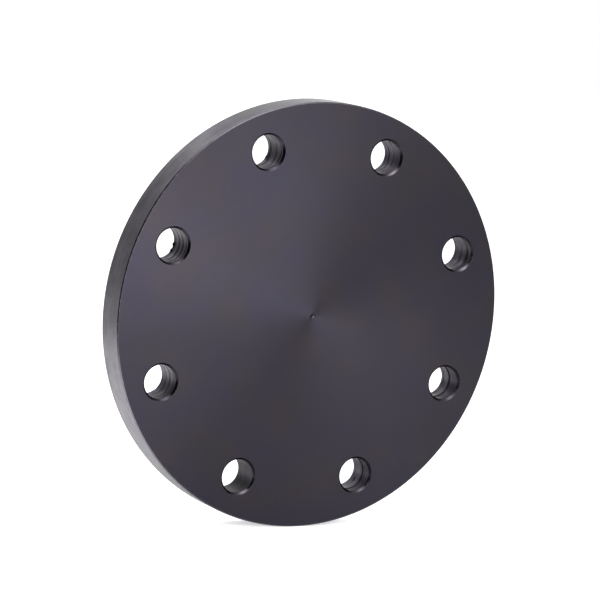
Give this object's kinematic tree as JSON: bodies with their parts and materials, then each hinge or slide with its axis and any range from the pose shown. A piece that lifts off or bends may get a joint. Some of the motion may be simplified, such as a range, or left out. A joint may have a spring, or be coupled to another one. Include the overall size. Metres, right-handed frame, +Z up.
{
  "type": "blind flange",
  "caption": "Solid round steel plate with bolt holes near its rim, which closes the end of a flanged pipe.",
  "frame": {"origin": "centre of the gasket face, on the plate's axis", "axes": "the plate stands upright; +Y is its axis and points out of the gasket face, the outside face looks toward -Y, +Z is up and the bolt holes straddle it"},
  "size_m": [0.22, 0.018, 0.22],
  "materials": {
    "dark_steel": "satin, black-finished, turned"
  },
  "bodies": {
    "root": {"flange_plate": "dark_steel"}
  },
  "joints": []
}
